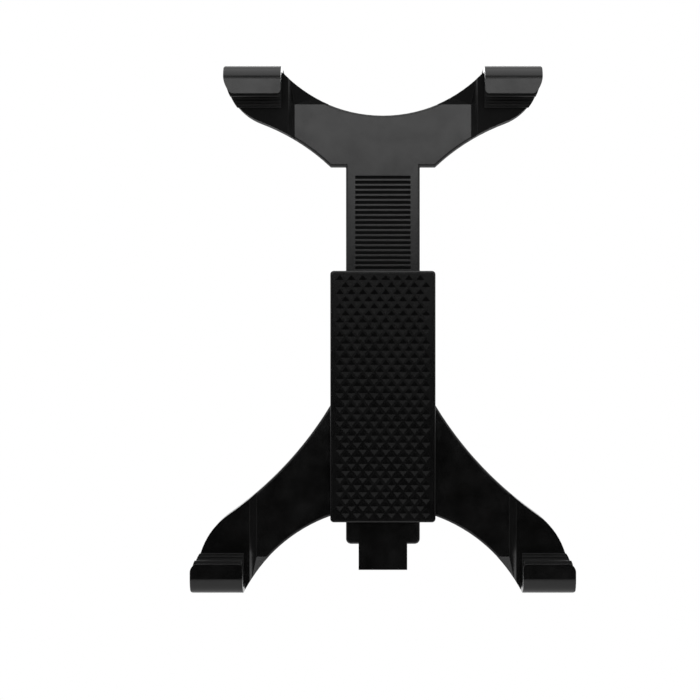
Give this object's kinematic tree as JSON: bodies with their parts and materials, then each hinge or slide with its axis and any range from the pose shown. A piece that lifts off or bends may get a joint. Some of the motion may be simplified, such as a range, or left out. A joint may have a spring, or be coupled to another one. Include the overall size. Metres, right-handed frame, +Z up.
{
  "type": "headrest tablet mount cradle",
  "caption": "Sliding claw cradle that grips a tablet behind a car seat, with a clicking stem, hooked arms, a pitted grip pad and a ball socket behind.",
  "frame": {"origin": "centre of the ball seat behind the cradle", "axes": "+Z up along the stem, +Y out of the ball socket's mouth towards the car seat, the tablet side faces -Y, +X to the right as seen by the tablet's user"},
  "size_m": [0.1474, 0.0417, 0.2026],
  "materials": {
    "frame_plastic": "fine semi-matte moulded black",
    "socket_plastic": "fine semi-matte moulded black",
    "ring_plastic": "matte moulded black",
    "pad_rubber": "matte soft black",
    "liner_rubber": "matte soft black",
    "spring_steel": "bare spring steel",
    "screw_steel": "black zinc"
  },
  "bodies": {
    "cradle": {"rear_housing": "frame_plastic", "front_cover": "frame_plastic", "grip_pad": "pad_rubber", "lower_left_claw_pad": "liner_rubber", "lower_right_claw_pad": "liner_rubber", "click_spring": "spring_steel", "cover_screws": "screw_steel", "stop_screw": "screw_steel", "ball_socket": "socket_plastic", "socket_screws": "screw_steel"},
    "slider": {"upper_frame": "frame_plastic", "upper_left_claw_pad": "liner_rubber", "upper_right_claw_pad": "liner_rubber"},
    "ring": {"clamp_ring": "ring_plastic"}
  },
  "joints": [
    {"name": "stem_slide", "type": "slide", "parent": "cradle", "child": "slider", "axis": [0, 0, 1], "range_m": [-0.0394, 0.0788], "deforming": ["click_spring"]},
    {"name": "ring_turn", "type": "hinge", "parent": "cradle", "child": "ring", "pos_m": [0, 0, 0], "axis": [0, 1, 0], "range_deg": [0, 360]}
  ]
}
